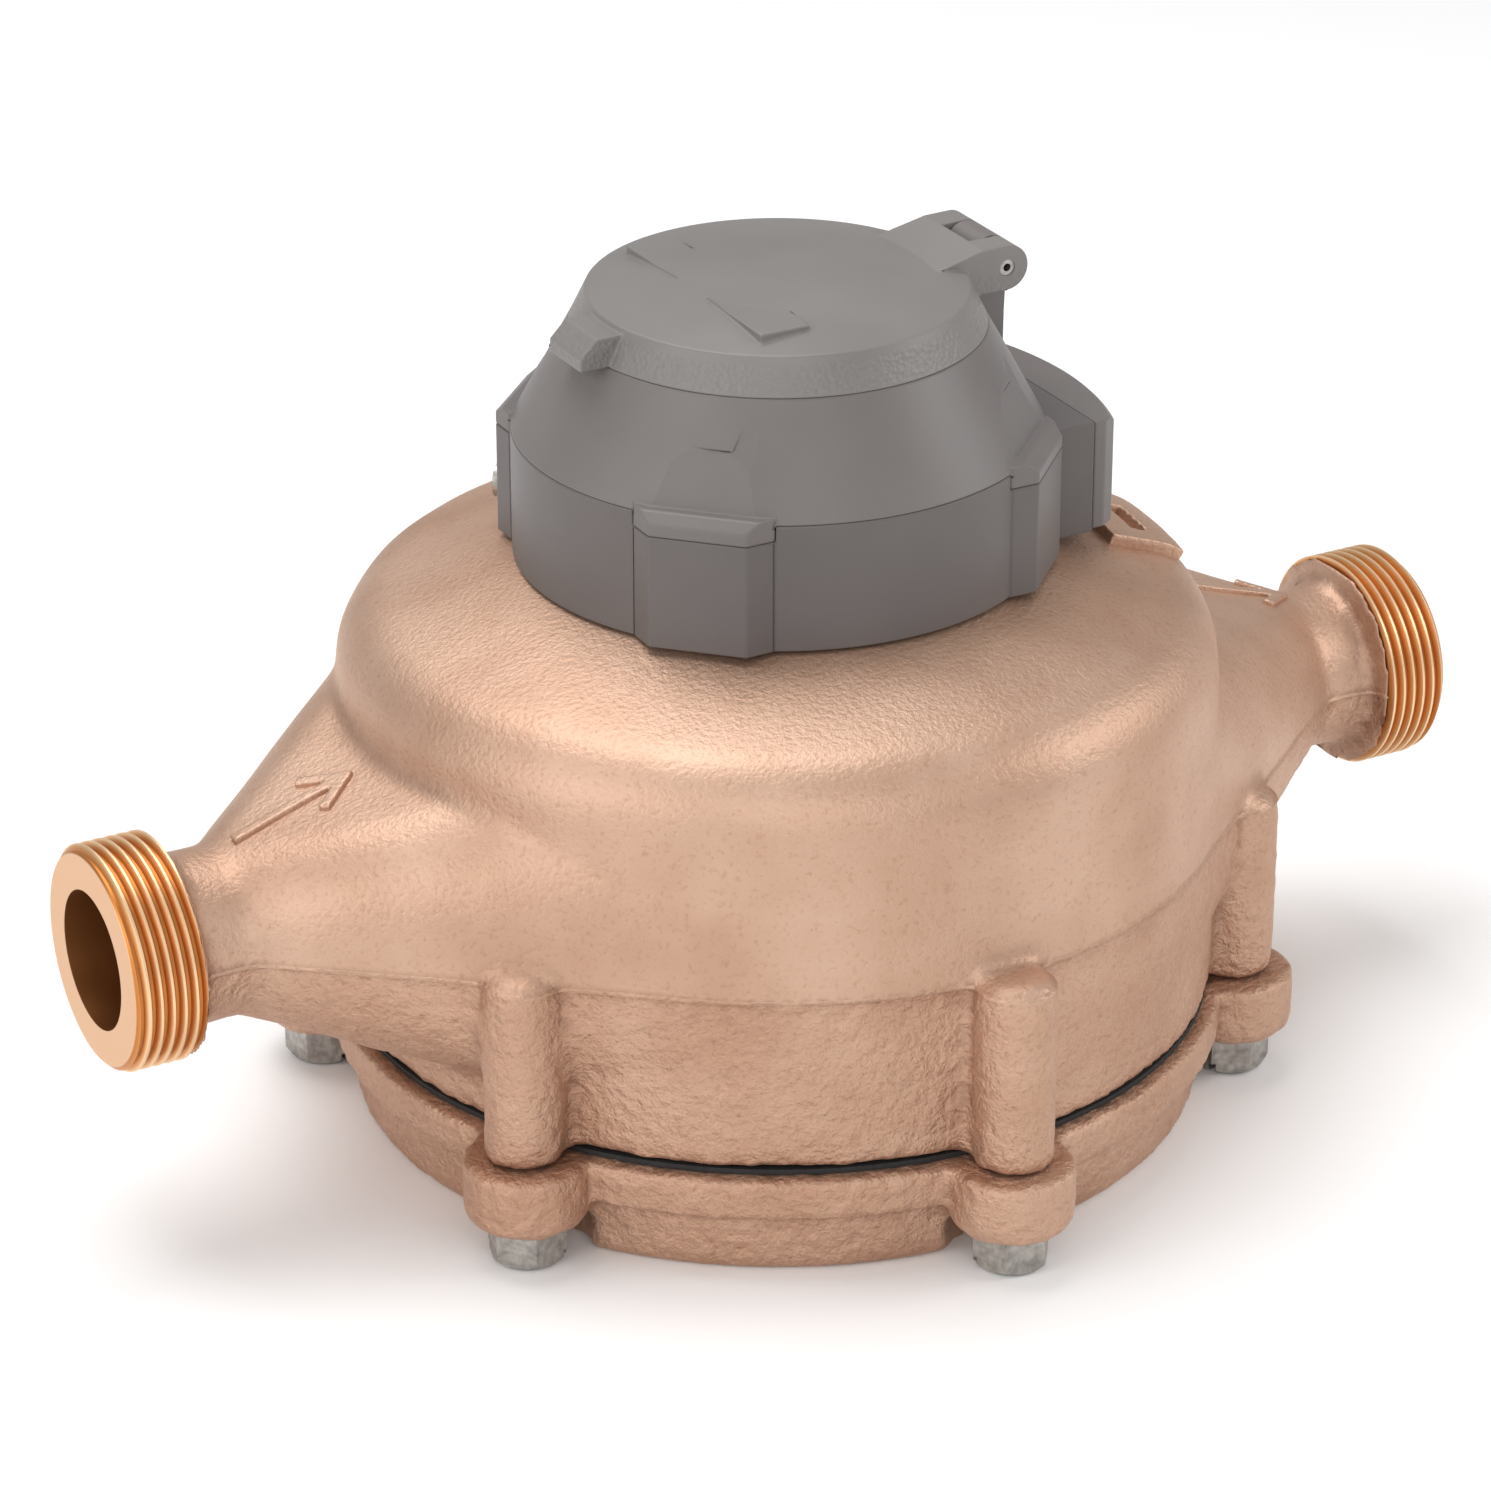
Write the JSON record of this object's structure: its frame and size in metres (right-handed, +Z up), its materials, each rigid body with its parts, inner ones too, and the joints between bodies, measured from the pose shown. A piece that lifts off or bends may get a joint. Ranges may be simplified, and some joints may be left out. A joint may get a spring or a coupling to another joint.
{
  "type": "water meter",
  "caption": "Bronze positive-displacement water meter with threaded in-line ends, a bolted bottom cover and a round grey register under a hinged lid.",
  "frame": {"origin": "on the surface the meter stands on, below the centre of the drum", "axes": "+Z up along the drum's axis; +X along the pipe, from the inlet to the outlet"},
  "size_m": [0.273, 0.194, 0.159],
  "materials": {
    "cast_bronze": "sand cast, unpolished",
    "stainless": "dull",
    "black_rubber": "matt",
    "chamber_plastic": "moulded",
    "disc_plastic": "moulded",
    "strainer_plastic": "moulded",
    "magnet": "sintered ferrite",
    "shroud_plastic": "fine stipple",
    "can_brass": "drawn",
    "glass": "polished",
    "dial_paint": "satin print",
    "movement_brass": "stamped",
    "gear_plastic": "moulded",
    "wheel_plastic": "printed",
    "red_paint": "satin",
    "red_plastic": "moulded",
    "board": "solder mask",
    "terminal_brass": "plated"
  },
  "bodies": {
    "housing": {"main_housing": "cast_bronze", "bottom_cover": "cast_bronze", "cover_bolts": "stainless", "cover_gasket": "black_rubber", "chamber_top": "chamber_plastic", "chamber_bottom": "chamber_plastic", "chamber_spacer": "chamber_plastic", "partition_plate": "stainless", "strainer": "strainer_plastic", "outlet_duct": "chamber_plastic", "outlet_seal": "black_rubber", "bearing_pin": "stainless", "register_base": "shroud_plastic", "register_dome": "shroud_plastic", "box_cover": "shroud_plastic", "box_cover_screws": "stainless", "terminal_board": "board", "terminal_screws": "terminal_brass", "seal_screw": "stainless", "hinge_pin": "stainless", "register_can": "can_brass", "lens": "glass", "lens_seal": "black_rubber", "movement_plate": "movement_brass", "movement_pillars": "movement_brass", "counter_shaft": "stainless", "counter_frame": "movement_brass", "dial_plate": "dial_paint"},
    "lid": {"lid": "shroud_plastic"},
    "drive": {"follower": "gear_plastic", "drive_magnet": "magnet"},
    "disc": {"nutating_disc": "disc_plastic", "disc_spindle": "stainless"},
    "magnet_rotor": {"driven_magnet": "magnet", "magnet_arbor": "gear_plastic"},
    "first_arbor": {"first_gear": "gear_plastic", "leak_indicator": "red_plastic"},
    "second_arbor": {"second_gear": "gear_plastic"},
    "third_arbor": {"third_gear": "gear_plastic"},
    "sweep": {"sweep_arbor": "gear_plastic", "sweep_hand": "red_paint"},
    "counter_arbor": {"counter_drive": "gear_plastic"},
    "wheel_1": {"number_wheel_1": "wheel_plastic", "shaft_gear": "gear_plastic"},
    "wheel_2": {"number_wheel_2": "wheel_plastic"},
    "wheel_3": {"number_wheel_3": "wheel_plastic"},
    "wheel_4": {"number_wheel_4": "wheel_plastic"},
    "wheel_5": {"number_wheel_5": "wheel_plastic"},
    "wheel_6": {"number_wheel_6": "wheel_plastic"}
  },
  "joints": [
    {"name": "lid_hinge", "type": "hinge", "parent": "housing", "child": "lid", "pos_m": [0.0412, 0, 0.1548], "axis": [0, 1, 0], "range_deg": [0, 110]},
    {"name": "drive_turn", "type": "hinge", "parent": "housing", "child": "drive", "pos_m": [0, 0, 0.092], "axis": [0, 0, 1], "continuous": true},
    {"name": "disc_nutation", "type": "hinge", "parent": "drive", "child": "disc", "pos_m": [0, 0, 0.055], "axis": [-0.2079, 0, 0.9781], "continuous": true},
    {"name": "magnet_turn", "type": "hinge", "parent": "housing", "child": "magnet_rotor", "pos_m": [0, 0, 0.114], "axis": [0, 0, 1], "continuous": true},
    {"name": "first_gear_turn", "type": "hinge", "parent": "housing", "child": "first_arbor", "pos_m": [-0.0165, 0, 0.122], "axis": [0, 0, 1], "continuous": true},
    {"name": "second_gear_turn", "type": "hinge", "parent": "housing", "child": "second_arbor", "pos_m": [-0.00825, 0.01429, 0.125], "axis": [0, 0, 1], "continuous": true},
    {"name": "third_gear_turn", "type": "hinge", "parent": "housing", "child": "third_arbor", "pos_m": [0.01052, 0.00798, 0.128], "axis": [0, 0, 1], "continuous": true},
    {"name": "sweep_turn", "type": "hinge", "parent": "housing", "child": "sweep", "pos_m": [0, 0, 0.14], "axis": [0, 0, 1], "continuous": true},
    {"name": "counter_gear_turn", "type": "hinge", "parent": "housing", "child": "counter_arbor", "pos_m": [0.009, -0.01124, 0.131], "axis": [0, 0, 1], "continuous": true},
    {"name": "wheel_1_turn", "type": "hinge", "parent": "housing", "child": "wheel_1", "pos_m": [0.009, -0.00574, 0.1365], "axis": [0, 1, 0], "continuous": true},
    {"name": "wheel_2_turn", "type": "hinge", "parent": "housing", "child": "wheel_2", "pos_m": [0.009, -0.00194, 0.1365], "axis": [0, 1, 0], "continuous": true},
    {"name": "wheel_3_turn", "type": "hinge", "parent": "housing", "child": "wheel_3", "pos_m": [0.009, 0.00186, 0.1365], "axis": [0, 1, 0], "continuous": true},
    {"name": "wheel_4_turn", "type": "hinge", "parent": "housing", "child": "wheel_4", "pos_m": [0.009, 0.00566, 0.1365], "axis": [0, 1, 0], "continuous": true},
    {"name": "wheel_5_turn", "type": "hinge", "parent": "housing", "child": "wheel_5", "pos_m": [0.009, 0.00946, 0.1365], "axis": [0, 1, 0], "continuous": true},
    {"name": "wheel_6_turn", "type": "hinge", "parent": "housing", "child": "wheel_6", "pos_m": [0.009, 0.01326, 0.1365], "axis": [0, 1, 0], "continuous": true}
  ],
  "couplings": [
    {"joint": "disc_nutation", "follows": "drive_turn", "ratio": -1},
    {"joint": "magnet_turn", "follows": "drive_turn", "ratio": 1},
    {"joint": "first_gear_turn", "follows": "drive_turn", "ratio": -0.25},
    {"joint": "second_gear_turn", "follows": "drive_turn", "ratio": 0.0625},
    {"joint": "third_gear_turn", "follows": "drive_turn", "ratio": -0.0125},
    {"joint": "sweep_turn", "follows": "drive_turn", "ratio": 0.0041667},
    {"joint": "counter_gear_turn", "follows": "drive_turn", "ratio": -0.00083333},
    {"joint": "wheel_1_turn", "follows": "drive_turn", "ratio": 0.00041667},
    {"joint": "wheel_2_turn", "follows": "drive_turn", "ratio": 0.000041667},
    {"joint": "wheel_3_turn", "follows": "drive_turn", "ratio": 0.0000041667},
    {"joint": "wheel_4_turn", "follows": "drive_turn", "ratio": 0.00000041667},
    {"joint": "wheel_5_turn", "follows": "drive_turn", "ratio": 0.000000041667},
    {"joint": "wheel_6_turn", "follows": "drive_turn", "ratio": 0.0000000041667}
  ]
}
